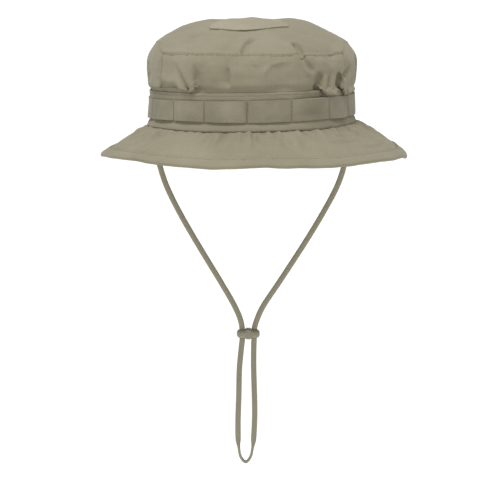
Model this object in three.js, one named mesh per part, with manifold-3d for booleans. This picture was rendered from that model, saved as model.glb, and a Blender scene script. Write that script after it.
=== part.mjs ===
import * as THREE from "three";
import { mergeVertices } from "three/addons/utils/BufferGeometryUtils.js";
import Module from "manifold-3d";

// A short-brimmed field hat of sewn cloth: an oval crown with a domed top, a flap on the top,
// a smooth band with a strip of webbing stitched down into loops, a sloping brim with a bound
// edge, and a flat chin cord that hangs in a loop through a slider.
// Millimetres, +Z up. The origin is the centre of the head opening, level with the seam between
// crown and brim. The hat faces -Y. Angles run round the hat from the front towards +X, in degrees.

// Driving dimensions
const HEAD_HALF_WIDTH = 82; // inside of the crown, for a 58 cm head
const HEAD_HALF_DEPTH = 100.5;
const CLOTH = 1.8; // crown and brim walls: two plies
const GAP = 0.3; // between pieces that are sewn together
const BAND = { height: 31, cloth: 1.2 };
const WEBBING = { bottom: 5.8, height: 19, cloth: 1.4, slack: 1.1, loops: 16, firstStitch: -2.5 };
const ROLL = 1.8; // the band and the seam below it sit this much higher on the right, lower on the left
const SEAM = { front: 60.5, sides: 68, corner: 60 }; // heights of the top seam; angle of the panel seams
const DOME = { height: 88, roundSides: 3, roundFront: 1.8, squareness: 0.92 };
const FLAP = {
  middle: -2.3, halfWidth: 32.4, corner: -42, tilt: 2, apex: -0.11, point: 14.5, back: 3, side: 6,
  cloth: 1.2, lift: 0.8, swell: 2.1,
};
const BRIM = { width: 44.8, flat: 2.2, drop: 22.8, frontLift: 0.5, bow: 1.2, shift: 1.8 };
const BINDING = { width: 7.8, cloth: 0.7, room: 0.3 };
const CORD = { width: 4.8, thickness: 2.2, steps: 70 };
const SLIDER = { x: -3, z: -180.5, width: 19.7, height: 7.4, depth: 8, between: 10.2, rounding: 2.8 };
const SADDLE = { width: 9, height: 9.2, depth: 5.4, rounding: 1.2 }; // across the middle of the slider
const SLOT_ROOM = 1.1; // the slots are this much wider and deeper than the cord
const TAB = { outer: 81.5, thickness: 4.4, width: 12, height: 15 };

// The seam between crown and brim, on the outside of the wall
const FOOT_HALF_WIDTH = HEAD_HALF_WIDTH + CLOTH;
const FOOT_HALF_DEPTH = HEAD_HALF_DEPTH + CLOTH;

// Outside of the crown wall at each height
const WALL_SECTIONS = [
  { z: 0, halfWidth: FOOT_HALF_WIDTH, halfDepth: FOOT_HALF_DEPTH },
  { z: BAND.height + 1, halfWidth: FOOT_HALF_WIDTH, halfDepth: FOOT_HALF_DEPTH },
  { z: 36, halfWidth: 86.4, halfDepth: 104.6 },
  { z: 47, halfWidth: 88.8, halfDepth: 106.4 },
  { z: 56, halfWidth: 88.4, halfDepth: 104.8 },
  { z: 63, halfWidth: 86, halfDepth: 101.4 },
  { z: SEAM.sides, halfWidth: 81.8, halfDepth: 97.4 },
];

// Creases of the slack crown cloth. A fold runs from low to high, leans sideways by lean degrees
// on the way, is width degrees wide, and pushes the cloth out by push millimetres.
const FOLDS = [
  { angle: -47, lean: -9, low: 30, high: 62, width: 5, push: -1.8 },
  { angle: -38, lean: -8, low: 30, high: 60, width: 3, push: 1.6 },
  { angle: -31, lean: 0, low: 28, high: 60, width: 3.2, push: -2.4 },
  { angle: -22, lean: 3, low: 30, high: 60, width: 5, push: 1 },
  { angle: -13, lean: 2, low: 28, high: 58, width: 3.5, push: -1.6 },
  { angle: 0, lean: 4, low: 30, high: 60, width: 5, push: 1 },
  { angle: 15, lean: 0, low: 26, high: 60, width: 10, push: -1.8 },
  { angle: 33, lean: -5, low: 32, high: 60, width: 3.5, push: 1.4 },
  { angle: 40, lean: 1, low: 28, high: 52, width: 3.2, push: -2.8 },
  { angle: 46, lean: 0, low: 28, high: 50, width: 3.2, push: 1.8 },
  { angle: 54, lean: 1, low: 28, high: 54, width: 3.5, push: -2.8 },
  { angle: 66, lean: 2, low: 28, high: 56, width: 4, push: 1.8 },
  { angle: 100, lean: 6, low: 28, high: 62, width: 7, push: -1.6 },
  { angle: 138, lean: -5, low: 28, high: 62, width: 8, push: -1.8 },
  { angle: 178, lean: 4, low: 28, high: 60, width: 8, push: -1.4 },
  { angle: 222, lean: 5, low: 28, high: 62, width: 8, push: -1.8 },
  { angle: 262, lean: -4, low: 28, high: 60, width: 7, push: -1.4 },
];

// Swells and hollows of the top, by their place seen from above
const TOP_DENTS = [
  { x: -37, y: 8, radius: 16, rise: 1.4 },
  { x: 37, y: 8, radius: 17, rise: 2.2 },
  { x: -1, y: -8, radius: 27, rise: -2.4 },
  { x: 74, y: 0, radius: 14, rise: -2.6 },
  { x: -76, y: 0, radius: 13, rise: -2.2 },
  { x: 37, y: -70, radius: 15, rise: -2.6 },
  { x: -2, y: 52, radius: 24, rise: -1.6 },
];

// Distances out from the seam at which the brim is shaped, from its edge inwards
const BRIM_STEPS = [BRIM.width, 36, 24, 12, 5.5, BRIM.flat, -CLOTH];

// Soft waves of the brim. One with edge 1 grows to the edge, one with edge 0 is highest half way out.
const BRIM_WAVES = [
  { angle: -90, width: 15, rise: -1.4, edge: 1 },
  { angle: -70, width: 12, rise: 1.3, edge: 1 },
  { angle: -53, width: 10, rise: 1.5, edge: 1 },
  { angle: -38, width: 9, rise: 0.9, edge: 1 },
  { angle: -14, width: 7, rise: -0.8, edge: 1 },
  { angle: 3, width: 5, rise: 0.8, edge: 1 },
  { angle: 27, width: 9, rise: -0.6, edge: 1 },
  { angle: 48, width: 10, rise: 0.9, edge: 1 },
  { angle: 70, width: 12, rise: 0.7, edge: 1 },
  { angle: 81, width: 7, rise: -1.6, edge: 1 },
  { angle: 92, width: 12, rise: -1.2, edge: 1 },
  { angle: 103, width: 9, rise: 1.2, edge: 1 },
  { angle: 95, width: 30, rise: 0.6, edge: 0 },
  { angle: 128, width: 13, rise: -1.2, edge: 1 },
  { angle: 186, width: 14, rise: 1, edge: 1 },
  { angle: 244, width: 13, rise: -1.2, edge: 1 },
];

// The tape round the brim's edge, from underneath to on top: how far back from the edge, how much
// of its thickness stands beyond the edge, and on which side of the brim it lies
const BINDING_FOLDS = [
  { back: BINDING.width, beyond: 0, side: -1 },
  { back: 0, beyond: 0.4, side: -1 },
  { back: 0, beyond: 1, side: 0 },
  { back: 0, beyond: 0.4, side: 1 },
  { back: BINDING.width, beyond: 0, side: 1 },
];

// The chin cord's centre line, [x, z], from the left tab down, round and up to the right tab
const CORD_ROUTE = [
  [-79.3, -0.3], [-80, -12], [-79.8, -26], [-76.8, -40], [-71.8, -54.4], [-61.9, -74.9],
  [-50.4, -95.5], [-38.3, -116], [-25.7, -137], [-14.2, -157.5], [-9.7, -168.5],
  [-8.2, -176.5], [-8.1, -184.5], [-9.2, -195.5], [-10.6, -211], [-11.2, -236], [-11.9, -260],
  [-11.3, -280], [-9.4, -289.5], [-5.2, -293.8], [-1.2, -289.5], [0.9, -280], [2.2, -264],
  [2.6, -248], [2.2, -230], [1.7, -211], [1.7, -195.5], [2, -184.5], [2.2, -176.5],
  [4.4, -168.5], [9.3, -157.5], [22.7, -137], [36.3, -116], [49.2, -95.5], [61.3, -74.9],
  [72, -54.4], [77.2, -40], [79.8, -26], [80, -12], [79.3, -0.3],
];

// A smooth step from 0 at low to 1 at high
function ramp(value, low, high) {
  const share = THREE.MathUtils.clamp((value - low) / (high - low), 0, 1);
  return share * share * (3 - 2 * share);
}

// A smooth hump, 1 at its middle
function hump(distance) {
  return Math.exp(-distance * distance);
}

// The shorter way round from one angle to another, between -180 and 180
function turnBetween(from, to) {
  return THREE.MathUtils.euclideanModulo(to - from + 180, 360) - 180;
}

// A point on an oval at this height, moved out along the oval's normal
function onOval(angle, z, out, halfWidth = FOOT_HALF_WIDTH, halfDepth = FOOT_HALF_DEPTH) {
  const turn = THREE.MathUtils.degToRad(angle);
  const normal = new THREE.Vector2(halfDepth * Math.sin(turn), -halfWidth * Math.cos(turn)).normalize();
  return new THREE.Vector3(
    halfWidth * Math.sin(turn) + out * normal.x,
    -halfDepth * Math.cos(turn) + out * normal.y,
    z,
  );
}

// The top seam dips across the front panel, climbs just past its two upright seams and stands
// higher from there backwards
function seamHeight(angle) {
  const fromFront = Math.abs(turnBetween(0, angle));
  return THREE.MathUtils.lerp(SEAM.front, SEAM.sides, ramp(fromFront, SEAM.corner - 2, SEAM.corner + 14));
}

// The wall's half width and half depth at any height
function wallSection(z) {
  const above = Math.max(1, WALL_SECTIONS.findIndex((row) => row.z >= z - 1e-6));
  const [low, high] = [WALL_SECTIONS[above - 1], WALL_SECTIONS[above]];
  const share = (z - low.z) / (high.z - low.z);
  return {
    halfWidth: THREE.MathUtils.lerp(low.halfWidth, high.halfWidth, share),
    halfDepth: THREE.MathUtils.lerp(low.halfDepth, high.halfDepth, share),
  };
}

// How far the folds push the crown cloth outwards
function foldPush(angle, z) {
  let push = 0;
  for (const fold of FOLDS) {
    const along = (z - fold.low) / (fold.high - fold.low);
    if (along <= 0 || along >= 1) continue;
    const across = turnBetween(fold.angle + fold.lean * along, angle) / fold.width;
    push += fold.push * hump(across) * Math.sin(Math.PI * along);
  }
  return push * ramp(z, BAND.height + 1, BAND.height + 6);
}

// How far the tilt of the band and the seam lifts the cloth: share is 1 on the band
function rollLift(angle, share) {
  return ROLL * Math.sin(THREE.MathUtils.degToRad(angle)) * share;
}

// A point of the dome's outside: share is 0 at the middle and 1 at the top seam
function domePoint(angle, share) {
  const seam = seamHeight(angle);
  const { halfWidth, halfDepth } = wallSection(seam);
  const point = onOval(angle, 0, 0, halfWidth * share, halfDepth * share);
  const toSide = Math.sin(THREE.MathUtils.degToRad(angle)) ** 2;
  const roundness = THREE.MathUtils.lerp(DOME.roundFront, DOME.roundSides, toSide);
  const rise = (1 - share ** roundness) ** DOME.squareness;
  point.z = THREE.MathUtils.lerp(seam, DOME.height, rise) + GAP / 2;
  for (const dent of TOP_DENTS) {
    const away = Math.hypot(point.x - dent.x, point.y - dent.y) / dent.radius;
    point.z += dent.rise * hump(away) * (1 - share ** 6);
  }
  return point;
}

// The dome's height above a place seen from above
function domeHeight(x, y) {
  const angle = THREE.MathUtils.radToDeg(Math.atan2(x / FOOT_HALF_WIDTH, -y / FOOT_HALF_DEPTH));
  const { halfWidth, halfDepth } = wallSection(seamHeight(angle));
  return domePoint(angle, Math.hypot(x / halfWidth, y / halfDepth)).z;
}

// A closed wall of cloth. place(column, level) gives its outer and its inner point.
function clothWall(columns, levels, closed, place) {
  const positions = [];
  const index = [];
  const count = closed ? columns : columns + 1;
  for (let column = 0; column < count; column++) {
    for (let level = 0; level <= levels; level++) {
      for (const point of place(column, level)) positions.push(point.x, point.y, point.z);
    }
  }
  const at = (column, level, side) => ((column % count) * (levels + 1) + level) * 2 + side;
  const quad = (a, b, c, d) => index.push(a, b, c, a, c, d);
  for (let column = 0; column < columns; column++) {
    const next = column + 1;
    for (let level = 0; level < levels; level++) {
      const up = level + 1;
      quad(at(column, level, 0), at(next, level, 0), at(next, up, 0), at(column, up, 0));
      quad(at(column, level, 1), at(column, up, 1), at(next, up, 1), at(next, level, 1));
    }
    quad(at(column, 0, 0), at(column, 0, 1), at(next, 0, 1), at(next, 0, 0));
    quad(at(column, levels, 0), at(next, levels, 0), at(next, levels, 1), at(column, levels, 1));
  }
  for (let level = 0; level < levels && !closed; level++) {
    const up = level + 1;
    quad(at(0, level, 0), at(0, up, 0), at(0, up, 1), at(0, level, 1));
    quad(at(columns, level, 0), at(columns, level, 1), at(columns, up, 1), at(columns, up, 0));
  }
  return weld(positions, index);
}

// Shares the vertices that coincide, such as a dome's pole, and drops the faces that collapse
function weld(positions, index) {
  const geometry = new THREE.BufferGeometry();
  geometry.setAttribute("position", new THREE.Float32BufferAttribute(positions, 3));
  geometry.setIndex(index);
  const merged = mergeVertices(geometry, 1e-3);
  const corners = merged.index.array;
  const kept = [];
  for (let i = 0; i < corners.length; i += 3) {
    const [a, b, c] = corners.slice(i, i + 3);
    if (a !== b && b !== c && a !== c) kept.push(a, b, c);
  }
  merged.setIndex(kept);
  merged.computeVertexNormals();
  return merged;
}

// A wall panel of the crown between two of the upright seams
function crownPanel(fromAngle, toAngle, columns) {
  const slack = BAND.height + 1; // the cloth is free above this height
  const shares = [0, 0.12, 0.25, 0.4, 0.55, 0.7, 0.85, 1]; // of the way from there to the top seam
  const halfSeam = THREE.MathUtils.radToDeg(GAP / FOOT_HALF_WIDTH);
  return clothWall(columns, shares.length, false, (column, level) => {
    const angle = THREE.MathUtils.mapLinear(column, 0, columns, fromAngle + halfSeam, toAngle - halfSeam);
    const z = level === 0 ? 0 : THREE.MathUtils.lerp(slack, seamHeight(angle), shares[level - 1]);
    const { halfWidth, halfDepth } = wallSection(z);
    const lift = rollLift(angle, 1 - ramp(z, BAND.height, SEAM.front - 4));
    const height = z + lift - (level === shares.length ? GAP / 2 : 0);
    const push = foldPush(angle, z);
    return [0, CLOTH].map((depth) => onOval(angle, height, push - depth, halfWidth, halfDepth));
  });
}

function crownTop() {
  const columns = 60;
  const levels = 8;
  return clothWall(columns, levels, true, (column, level) => {
    const angle = (360 * column) / columns;
    const share = level === levels ? 0 : Math.cos((Math.PI / 2) * (level / levels));
    const outer = domePoint(angle, share);
    const inwards = share * (1 - CLOTH / FOOT_HALF_WIDTH);
    const inner = domePoint(angle, inwards);
    inner.z = outer.z - CLOTH * Math.min(1, (1 - share) * 5);
    return [outer, inner];
  });
}

// The flap on the top: a half moon sewn down round its back, with its slightly pointed front lifted
function topFlap() {
  const columns = 14;
  const levels = 8;
  return clothWall(columns, levels, false, (column, level) => {
    const across = (2 * column) / columns - 1;
    const toFront = 1 - level / levels;
    const corner = FLAP.corner + FLAP.tilt * across;
    const fromApex = Math.abs(across - FLAP.apex) / (1 - Math.sign(across - FLAP.apex) * FLAP.apex);
    const front = corner - FLAP.side / 2 - FLAP.point * (1 - fromApex ** 1.3);
    const back = corner + FLAP.side / 2 + (FLAP.back - FLAP.corner) * (1 - across ** 2);
    const x = FLAP.middle + across * FLAP.halfWidth;
    const y = THREE.MathUtils.lerp(back, front, toFront);
    const lip = FLAP.lift * hump((across - FLAP.apex) / 0.24) * toFront ** 4;
    const swell = FLAP.swell * Math.sqrt(1 - across ** 2) * Math.sin(Math.PI * toFront);
    const z = domeHeight(x, y) + GAP + lip + swell;
    return [new THREE.Vector3(x, y, z + FLAP.cloth), new THREE.Vector3(x, y, z)];
  });
}

// A strip round the crown; standOff(angle) is its distance from the wall
function strip({ bottom, height, cloth }, columns, standOff) {
  return clothWall(columns, 1, true, (column, level) => {
    const angle = (360 * column) / columns + WEBBING.firstStitch;
    const z = bottom + level * height + rollLift(angle, 1);
    const inside = standOff(angle);
    return [onOval(angle, z, inside + cloth), onOval(angle, z, inside)];
  });
}

// The webbing is stitched down at even angles and stands slack in between
function webbingStandOff(angle) {
  const loop = ((angle - WEBBING.firstStitch) * WEBBING.loops) / 360;
  return GAP + BAND.cloth + GAP + WEBBING.slack * Math.abs(Math.sin(Math.PI * loop)) ** 1.5;
}

// A point on the brim at a distance out from the seam, and so far above or below its upper side
function brimPoint(angle, fromSeam, above) {
  const share = Math.max(0, (fromSeam - BRIM.flat) / (BRIM.width - BRIM.flat));
  const drop = BRIM.drop - BRIM.frontLift * Math.cos(2 * THREE.MathUtils.degToRad(angle));
  const slope = Math.atan2(drop, BRIM.width) * ramp(share, 0, 0.2);
  let z = -GAP - drop * share ** BRIM.bow + rollLift(angle, 1 - Math.min(1, share));
  for (const wave of BRIM_WAVES) {
    const grown = THREE.MathUtils.lerp(4 * share * (1 - share), share ** 1.5, wave.edge);
    z += wave.rise * hump(turnBetween(wave.angle, angle) / wave.width) * grown;
  }
  const point = onOval(angle, z + above * Math.cos(slope), fromSeam + above * Math.sin(slope));
  point.x += BRIM.shift * Math.min(1, 3 * share);
  return point;
}

function brim() {
  const columns = 68;
  return clothWall(columns, BRIM_STEPS.length - 1, true, (column, level) => {
    const angle = (360 * column) / columns;
    return [0, -CLOTH].map((above) => brimPoint(angle, BRIM_STEPS[level], above));
  });
}

function brimBinding() {
  const columns = 68;
  return clothWall(columns, BINDING_FOLDS.length - 1, true, (column, level) => {
    const angle = (360 * column) / columns;
    const { back, beyond, side } = BINDING_FOLDS[level];
    return [BINDING.room + BINDING.cloth, BINDING.room].map((off) => {
      const above = side * (CLOTH / 2 + off) - CLOTH / 2;
      return brimPoint(angle, BRIM.width - back + beyond * off, above);
    });
  });
}

// An outline with straight sides along X and round ends
function stadium(width, depth) {
  const shape = new THREE.Shape();
  const end = depth / 2;
  const straight = width / 2 - end;
  shape.absarc(straight, 0, end, -Math.PI / 2, Math.PI / 2);
  shape.absarc(-straight, 0, end, Math.PI / 2, (3 * Math.PI) / 2);
  return shape;
}

function chinCord() {
  const points = CORD_ROUTE.map(([x, z]) => new THREE.Vector3(x, 0, z));
  const line = new THREE.CatmullRomCurve3(points, false, "centripetal");
  const [half, edge] = [CORD.width / 2, CORD.thickness / 2];
  const section = new THREE.Shape([
    [edge, half - edge], [edge / 2, half], [-edge / 2, half], [-edge, half - edge],
    [-edge, edge - half], [-edge / 2, -half], [edge / 2, -half], [edge, edge - half],
  ].map(([x, y]) => new THREE.Vector2(x, y)));
  return new THREE.ExtrudeGeometry(section, { steps: CORD.steps, extrudePath: line, bevelEnabled: false });
}

const wasm = await Module();
wasm.setup();

function toSolid(geometry) {
  const bare = geometry.clone();
  bare.deleteAttribute("normal");
  bare.deleteAttribute("uv");
  const merged = mergeVertices(bare, 1e-4);
  return new wasm.Manifold(new wasm.Mesh({
    numProp: 3,
    vertProperties: merged.attributes.position.array,
    triVerts: new Uint32Array(merged.index.array),
  }));
}

function toGeometry(solid) {
  const { vertProperties, triVerts } = solid.getMesh();
  const geometry = new THREE.BufferGeometry();
  geometry.setAttribute("position", new THREE.BufferAttribute(vertProperties, 3));
  geometry.setIndex(new THREE.BufferAttribute(triVerts, 1));
  geometry.computeVertexNormals();
  return geometry;
}

// A bar with round ends and rounded edges, centred on the origin
function roundedBar({ width, depth, height, rounding }) {
  const bar = new THREE.ExtrudeGeometry(stadium(width - 2 * rounding, depth - 2 * rounding), {
    depth: height - 2 * rounding,
    bevelSize: rounding,
    bevelThickness: rounding,
    bevelSegments: 3,
    curveSegments: 5,
  });
  return toSolid(bar.translate(0, 0, rounding - height / 2));
}

// The slider: a rounded bar, thicker in the middle, with two upright slots for the cord's strands
function cordSlider() {
  let solid = roundedBar(SLIDER).add(roundedBar(SADDLE).rotate([0, 0, 90]));
  for (const side of [-1, 1]) {
    const slot = new THREE.ExtrudeGeometry(stadium(CORD.width + SLOT_ROOM, CORD.thickness + SLOT_ROOM), {
      depth: 2 * SLIDER.height,
      bevelEnabled: false,
      curveSegments: 3,
    });
    solid = solid.subtract(toSolid(slot.translate((side * SLIDER.between) / 2, 0, -SLIDER.height)));
  }
  return toGeometry(solid);
}

const MATERIALS = {
  ripstop: new THREE.MeshStandardMaterial({ color: "#968f78", roughness: 0.9, metalness: 0 }),
  webbing: new THREE.MeshStandardMaterial({ color: "#8f8973", roughness: 0.75, metalness: 0 }),
  cord: new THREE.MeshStandardMaterial({ color: "#8b8770", roughness: 0.85, metalness: 0 }),
  plastic: new THREE.MeshStandardMaterial({ color: "#87836e", roughness: 0.35, metalness: 0 }),
};

const hat = new THREE.Group();

function add(name, material, geometry, x = 0, z = 0) {
  const mesh = new THREE.Mesh(geometry, MATERIALS[material].clone());
  mesh.name = name;
  mesh.position.set(x, 0, z);
  hat.add(mesh);
}

add("crown_front_panel", "ripstop", crownPanel(-SEAM.corner, SEAM.corner, 36));
add("crown_back_panel", "ripstop", crownPanel(SEAM.corner, 360 - SEAM.corner, 40));
add("crown_top", "ripstop", crownTop());
add("top_flap", "ripstop", topFlap());
add("base_band", "ripstop", strip({ bottom: 0, ...BAND }, 60, () => GAP));
add("webbing_band", "webbing", strip(WEBBING, 6 * WEBBING.loops, webbingStandOff));
add("brim", "ripstop", brim());
add("brim_binding", "ripstop", brimBinding());
add("chin_cord", "cord", chinCord());
add("cord_slider", "plastic", cordSlider(), SLIDER.x, SLIDER.z);
for (const [name, side] of [["cord_tab_left", -1], ["cord_tab_right", 1]]) {
  const tab = new THREE.BoxGeometry(TAB.thickness, TAB.width, TAB.height);
  add(name, "webbing", tab, side * (TAB.outer - TAB.thickness / 2), TAB.height / 2);
}

export default hat;
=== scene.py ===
import math

import bpy
import numpy as np
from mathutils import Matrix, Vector, noise


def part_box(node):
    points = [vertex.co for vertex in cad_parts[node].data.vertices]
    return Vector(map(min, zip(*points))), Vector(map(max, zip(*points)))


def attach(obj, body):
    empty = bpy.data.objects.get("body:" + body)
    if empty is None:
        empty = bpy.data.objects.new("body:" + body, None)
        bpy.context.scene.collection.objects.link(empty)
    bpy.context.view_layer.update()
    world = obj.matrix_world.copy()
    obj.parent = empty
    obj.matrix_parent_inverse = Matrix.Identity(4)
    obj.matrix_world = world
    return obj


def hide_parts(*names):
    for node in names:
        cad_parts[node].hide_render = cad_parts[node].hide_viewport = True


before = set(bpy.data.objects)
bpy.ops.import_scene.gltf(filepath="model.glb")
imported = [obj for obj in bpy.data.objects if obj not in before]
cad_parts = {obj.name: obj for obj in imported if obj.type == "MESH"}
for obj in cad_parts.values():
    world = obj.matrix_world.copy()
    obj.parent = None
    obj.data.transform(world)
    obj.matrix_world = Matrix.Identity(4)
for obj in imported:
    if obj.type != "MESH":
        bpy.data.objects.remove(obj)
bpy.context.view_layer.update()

# A boonie hat of ripstop cloth. Lengths in the dictionaries are in millimetres and angles in degrees,
# measured round the hat from the front (-Y) towards +X. mm turns a length to Blender's metres.
mm = 0.001


def selectOnly(*pieces):
    # the first becomes the active one
    bpy.ops.object.select_all(action="DESELECT")
    for piece in reversed(pieces):
        piece.select_set(True)
        bpy.context.view_layer.objects.active = piece


def readAll(items, name, width=1, kind=float):
    # one property of all the items, in rows of this width
    values = np.empty(len(items) * width, kind)
    items.foreach_get(name, values)
    return values.reshape(-1, width) if width > 1 else values


def readPoints(piece):
    return readAll(piece.data.vertices, "co", 3) / mm


def readShape(piece):
    return readPoints(piece), readAll(piece.data.vertices, "normal", 3)  # points and normals


def writePoints(piece, points):
    piece.data.vertices.foreach_set("co", (points * mm).ravel())
    piece.data.update()


def smoothStep(value, low, high):
    share = np.clip((value - low) / (high - low), 0, 1)
    return share * share * (3 - 2 * share)


def hump(distance):
    return np.exp(-distance * distance)


def turnBetween(start, end):
    return (end - start + 180) % 360 - 180  # the shorter way round, in degrees


def wobble(points, scale, seed):
    # smooth noise of about -1 to 1, one value for each point, with lumps of about scale millimetres
    shift = Vector((seed * 17.3, seed * 5.1, seed * 29.7))
    return np.array([noise.noise(Vector(p) / scale + shift) for p in points]) * 1.6


def newSheet(name, columns, rows, cut, place):
    # a flat grid of cloth, cut to this width and length, then laid where place(u, v) says
    selectOnly()
    bpy.ops.mesh.primitive_grid_add(x_subdivisions=columns, y_subdivisions=rows, size=1)
    sheet = bpy.context.object
    sheet.name = sheet.data.name = name
    corners = sheet.data.uv_layers[0].data  # the weave is laid out on the flat cloth, in metres
    corners.foreach_set("uv", (readAll(corners, "uv", 2) * np.array(cut) * mm).ravel())
    flat = readPoints(sheet) * mm + 0.5
    writePoints(sheet, np.stack(place(flat[:, 0], flat[:, 1]), axis=-1))
    return sheet


def addPrimitive(operator, name, scale, **settings):
    # a primitive brought to its size, with its place in its mesh
    selectOnly()
    operator(**settings)
    piece = bpy.context.object
    piece.name = piece.data.name = name
    piece.scale = scale
    bpy.ops.object.transform_apply()
    return piece


def editWhole(piece, *steps):
    # runs each step, an operator of edit mode and its settings, on the whole piece
    selectOnly(piece)
    bpy.ops.object.mode_set(mode="EDIT")
    for operator, settings in steps:
        bpy.ops.mesh.select_all(action="SELECT")
        operator(**settings)
    bpy.ops.object.mode_set(mode="OBJECT")


def roundEdges(rounding, segments, profile=0.5):
    # a step that bevels all edges
    return bpy.ops.mesh.bevel, dict(
        offset=rounding * mm, segments=segments, profile=profile, affect="EDGES")


def mergeSeams(piece, distance=0.01):
    editWhole(piece, (bpy.ops.mesh.remove_doubles, dict(threshold=distance * mm)))


def setAll(thing, **settings):
    for name, value in settings.items():
        setattr(thing, name, value)
    return thing


def newRing(name, columns, rows, cut, place):
    # a sheet sewn to a ring round the hat, laid where place(angle, v) says, with its points and normals
    piece = newSheet(name, columns, rows, cut, lambda u, v: place(360 * u - 180, v).T)
    mergeSeams(piece)
    return piece, *readShape(piece)


def addModifier(piece, kind, **settings):
    return setAll(piece.modifiers.new(kind.lower(), kind), **settings)


def applyModifiers(piece):
    selectOnly(piece)
    for modifier in list(piece.modifiers):
        bpy.ops.object.modifier_apply(modifier=modifier.name)


def thicken(piece, thickness, levels=1):
    # gives a sheet its thickness, inwards from its outside, and rounds its edges
    addModifier(piece, "SOLIDIFY", thickness=thickness * mm, offset=-1)
    if levels:
        addModifier(piece, "SUBSURF", levels=levels, render_levels=levels)
    applyModifiers(piece)
    bpy.ops.object.shade_smooth_by_angle(angle=math.radians(60))


def dress(piece, material, node=None):
    # gives a piece its material, hangs it on the root body, and hides the CAD node that it stands for where
    # there is one
    piece.data.materials.clear()
    piece.data.materials.append(material)
    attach(piece, "root")
    if node:
        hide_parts(node)
    return piece


def finishSheet(piece, points, thickness, material, node, levels=1):
    writePoints(piece, points)
    thicken(piece, thickness, levels)
    return dress(piece, material, node)


cameraSetup = dict(
    distance=1500, height=102, side=-1.5,  # in front of the hat, a little above its brim
    aim=-108, frameHeight=427,  # the middle and the height of what it sees, at the hat
)


def setCamera():
    place = Vector((cameraSetup["side"], -cameraSetup["distance"], cameraSetup["height"])) * mm
    target = Vector((cameraSetup["side"], 0, cameraSetup["aim"])) * mm
    camera = bpy.data.objects.new("camera", bpy.data.cameras.new("camera"))
    bpy.context.scene.collection.objects.link(camera)
    camera.location = place
    camera.rotation_euler = (target - place).to_track_quat("-Z", "Y").to_euler()
    halfView = cameraSetup["frameHeight"] * mm / 2 / (target - place).length
    camera.data.lens = camera.data.sensor_width / 2 / halfView
    camera.data.clip_end = 1500
    bpy.context.scene.camera = camera


setCamera()
print("camera set")


def colour(hexCode):
    # an sRGB hex colour as the linear value that the shader wants
    channels = [int(hexCode[i:i + 2], 16) / 255 for i in (1, 3, 5)]
    linear = [c / 12.92 if c <= 0.04045 else ((c + 0.055) / 1.055) ** 2.4 for c in channels]
    return (*linear, 1)


def addNode(tree, kind, settings=None, links=None):
    # a link starts at a socket, or at a node's first output
    node = tree.nodes.new("ShaderNode" + kind)
    for name, value in (settings or {}).items():
        if isinstance(name, int) or name in node.inputs:
            node.inputs[name].default_value = value
        else:
            setattr(node, name, value)
    for name, source in (links or {}).items():
        tree.links.new(getattr(source, "outputs", [source])[0], node.inputs[name])
    return node


def newMaterial(name, settings):
    material = bpy.data.materials.new(name)
    material.use_nodes = True
    for socket, value in settings.items():
        material.node_tree.nodes["Principled BSDF"].inputs[socket].default_value = value
    return material, material.node_tree


def joinShader(tree, links):
    for socket, source in links.items():
        tree.links.new(source, tree.nodes["Principled BSDF"].inputs[socket])


def bandScale(spacing):
    return 1000 / spacing * 2 * math.pi / 20  # a wave texture's scale for bands this many millimetres apart


ripstopSetup = dict(
    light="#96907b", dark="#89836e", thread="#817c66",
    # the lighter pair below is painted light, for the top flap that catches more light
    paintedLitLight="#a29b87", paintedLitDark="#958e79",
    weave=1.2,  # real threads lie 0.3 mm apart; drawn four times as coarse so that they show
    grid=5.0,  # the stronger threads of the ripstop
    slub=1.6, patches=45,  # thicker places in the threads, and changes of tone from wear and washing
)


def makeRipstop(name, light, dark):
    # cotton and polyester ripstop, plain woven and piece dyed: matt, with a fine even weave, a faint
    # square grid of thicker threads, a soft bloom at grazing angles and slightly uneven dye
    setup = ripstopSetup
    material, tree = newMaterial(name, {
        "Roughness": 0.88, "IOR": 1.46, "Sheen Weight": 0.12, "Sheen Roughness": 0.45,
        "Specular IOR Level": 0.3,
    })
    flat = addNode(tree, "UVMap", {"uv_map": "UVMap"})
    patches = addNode(tree, "TexNoise", {"Scale": 1000 / setup["patches"], "Detail": 4.0, "Roughness": 0.6},
                      {"Vector": addNode(tree, "TexCoord").outputs["Object"]})
    slub = addNode(tree, "TexNoise", {"Scale": 1000 / setup["slub"], "Detail": 2.0}, {"Vector": flat})
    tone = addNode(tree, "Math", {"operation": "MULTIPLY_ADD", 1: 0.35}, {0: slub, 2: patches})
    base = addNode(tree, "MapRange", {"From Min": 0.45, "From Max": 0.9}, {"Value": tone})
    cloth = addNode(tree, "Mix", {"data_type": "RGBA", 6: colour(dark), 7: colour(light)}, {0: base})
    waves = [addNode(tree, "TexWave", {"bands_direction": direction, "Scale": bandScale(setup[spacing]),
                                       "Distortion": 0.0}, {"Vector": flat}).outputs["Fac"]
             for spacing in ("weave", "grid") for direction in ("X", "Y")]
    grid = addNode(tree, "Math", {"operation": "MAXIMUM"}, {0: waves[2], 1: waves[3]})
    lines = addNode(tree, "MapRange", {"From Min": 0.93, "From Max": 1.0}, {"Value": grid})
    faint = addNode(tree, "Math", {"operation": "MULTIPLY", 1: 0.1}, {0: lines})
    threads = addNode(tree, "Mix", {"data_type": "RGBA", 7: colour(setup["thread"])},
                      {0: faint, 6: cloth.outputs[2]})
    weave = addNode(tree, "Math", {"operation": "MULTIPLY"}, {0: waves[0], 1: waves[1]})
    height = addNode(tree, "Math", {"operation": "MULTIPLY_ADD", 1: 0.6}, {0: lines, 2: weave})
    bump = addNode(tree, "Bump", {"Strength": 0.35, "Distance": 0.08 * mm}, {"Height": height})
    joinShader(tree, {"Base Color": threads.outputs[2], "Normal": bump.outputs["Normal"]})
    return material


webbingSetup = dict(light="#9f9984", dark="#7e7865", pick=1.7, soil=25)  # pick: its ribs' spacing


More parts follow.
